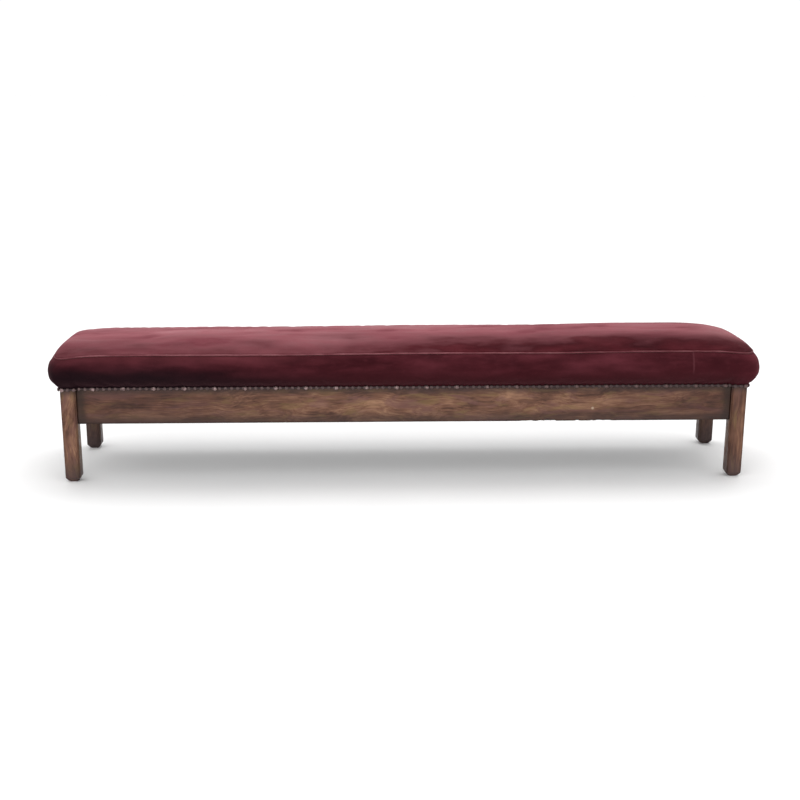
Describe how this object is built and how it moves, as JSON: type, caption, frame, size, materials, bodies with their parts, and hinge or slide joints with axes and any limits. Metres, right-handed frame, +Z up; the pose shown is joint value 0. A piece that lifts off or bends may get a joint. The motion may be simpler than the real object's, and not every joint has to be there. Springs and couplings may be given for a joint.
{
  "type": "upholstered hall bench",
  "caption": "Long low backless bench with a crowned velvet seat, welted edge and nail-head trim on a mortised wooden frame with square legs.",
  "frame": {"origin": "on the floor, under the middle of the bench", "axes": "+X along the bench to the right as seen from the front, -Y the front, +Z up"},
  "size_m": [2.358, 0.498, 0.47],
  "materials": {
    "polished_wood": "worn satin polish",
    "plain_wood": "planed",
    "screw_steel": "dull",
    "jute_webbing": "woven",
    "hessian": "open weave",
    "stuffing": "fibrous",
    "black_cloth": "matt",
    "velvet": "velvet pile",
    "nail_brass": "aged"
  },
  "bodies": {
    "root": {"leg_front_left": "polished_wood", "leg_front_right": "polished_wood", "leg_rear_left": "polished_wood", "leg_rear_right": "polished_wood", "front_rail": "polished_wood", "rear_rail": "polished_wood", "left_end_rail": "polished_wood", "right_end_rail": "polished_wood", "cross_bearer_left": "plain_wood", "cross_bearer_middle": "plain_wood", "cross_bearer_right": "plain_wood", "corner_block_front_left": "plain_wood", "corner_block_front_right": "plain_wood", "corner_block_rear_left": "plain_wood", "corner_block_rear_right": "plain_wood", "block_screw_long_front_left": "screw_steel", "block_screw_long_front_right": "screw_steel", "block_screw_long_rear_left": "screw_steel", "block_screw_long_rear_right": "screw_steel", "block_screw_end_front_left": "screw_steel", "block_screw_end_front_right": "screw_steel", "block_screw_end_rear_left": "screw_steel", "block_screw_end_rear_right": "screw_steel", "webbing_long_1": "jute_webbing", "webbing_long_2": "jute_webbing", "webbing_long_3": "jute_webbing", "webbing_cross_01": "jute_webbing", "webbing_cross_02": "jute_webbing", "webbing_cross_03": "jute_webbing", "webbing_cross_04": "jute_webbing", "webbing_cross_05": "jute_webbing", "webbing_cross_06": "jute_webbing", "webbing_cross_07": "jute_webbing", "webbing_cross_08": "jute_webbing", "webbing_cross_09": "jute_webbing", "webbing_cross_10": "jute_webbing", "webbing_cross_11": "jute_webbing", "webbing_cross_12": "jute_webbing", "webbing_cross_13": "jute_webbing", "webbing_cross_14": "jute_webbing", "hessian_deck": "hessian", "stuffing": "stuffing", "bottom_cloth": "black_cloth", "velvet_border": "velvet", "velvet_seat": "velvet", "welt": "velvet", "nail_strip_front": "nail_brass", "nail_strip_rear": "nail_brass", "nail_strip_left": "nail_brass", "nail_strip_right": "nail_brass"}
  },
  "joints": []
}
